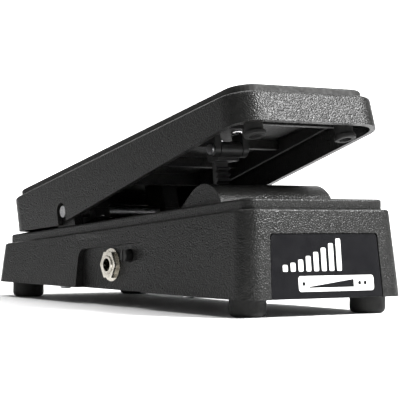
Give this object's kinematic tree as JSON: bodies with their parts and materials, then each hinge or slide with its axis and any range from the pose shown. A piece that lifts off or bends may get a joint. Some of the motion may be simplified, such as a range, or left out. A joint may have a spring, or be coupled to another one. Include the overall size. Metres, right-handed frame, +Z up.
{
  "type": "volume pedal",
  "caption": "Low rocking foot pedal: wedge base with side jacks, hinged treadle with a rubber mat, and a rack and pinion that turn a potentiometer.",
  "frame": {"origin": "on the floor, in the middle of the object's length and width", "axes": "+Z up, -Y towards the toe end with the front plate, +X to the right seen from the toe end"},
  "size_m": [0.0918, 0.2414, 0.1043],
  "materials": {
    "abs_black": "pebble-grained",
    "rubber_black": "matt",
    "gloss_black": "polished",
    "plate_steel": "black powder coat",
    "zinc_steel": "zinc plated",
    "bright_steel": "bright plated",
    "nickel": "nickel plated",
    "contact_brass": "tinned brass",
    "nylon_black": "moulded nylon",
    "board_green": "solder mask",
    "component_tan": "moulded",
    "wire_red": "PVC insulation"
  },
  "bodies": {
    "base": {"base_housing": "abs_black", "rubber_feet": "rubber_black", "label_plate": "gloss_black", "bottom_plate": "plate_steel", "foot_screws": "zinc_steel", "plate_screws": "zinc_steel", "foot_washers": "zinc_steel", "bracket_screws": "zinc_steel", "pot_bracket": "zinc_steel", "guide_screw": "zinc_steel", "board_screws": "bright_steel", "output_jack_bushing": "nickel", "output_jack_washer": "nickel", "output_jack_nut": "nickel", "input_jack_bushing": "nickel", "input_jack_washer": "nickel", "input_jack_nut": "nickel", "pot_bushing": "nickel", "pot_washer": "nickel", "pot_nut": "nickel", "output_jack_contacts": "contact_brass", "input_jack_contacts": "contact_brass", "pot_lugs": "contact_brass", "rack_guide": "nylon_black", "pivot_bushings": "nylon_black", "output_jack_body": "nylon_black", "input_jack_body": "nylon_black", "trimmer_body": "nylon_black", "pot_body": "nylon_black", "circuit_board": "board_green", "board_parts": "component_tan", "pot_wires": "wire_red"},
    "treadle": {"treadle_shell": "abs_black", "tread_mat": "rubber_black", "pivot_rod": "zinc_steel", "pivot_saddles": "nylon_black", "saddle_screws": "bright_steel", "rack_clevis": "nylon_black", "clevis_screws": "bright_steel", "clevis_pin": "zinc_steel", "clevis_clip": "zinc_steel", "toe_bumpers": "rubber_black", "bumper_screws": "bright_steel", "heel_pads": "rubber_black"},
    "rack": {"rack": "nylon_black"},
    "pinion": {"pinion": "nylon_black", "pot_shaft": "bright_steel"},
    "trimmer": {"trimmer_shaft": "nylon_black"}
  },
  "joints": [
    {"name": "treadle_pivot", "type": "hinge", "parent": "base", "child": "treadle", "pos_m": [0, 0.05186, 0.04672], "axis": [1, 0, 0], "range_deg": [0, 10.5]},
    {"name": "rack_pivot", "type": "hinge", "parent": "treadle", "child": "rack", "pos_m": [-0.0164, -0.06447, 0.07616], "axis": [1, 0, 0], "range_deg": [-5.3, 0.1]},
    {"name": "pinion_spin", "type": "hinge", "parent": "base", "child": "pinion", "pos_m": [-0.0164, -0.068, 0.041], "axis": [1, 0, 0], "range_deg": [-241, 1]},
    {"name": "trimmer_turn", "type": "hinge", "parent": "base", "child": "trimmer", "pos_m": [-0.04, -0.0165, 0.0253], "axis": [1, 0, 0], "range_deg": [-135, 135]}
  ],
  "couplings": [
    {"joint": "rack_pivot", "follows": "treadle_pivot", "ratio": -0.5},
    {"joint": "pinion_spin", "follows": "treadle_pivot", "ratio": -22.899}
  ]
}
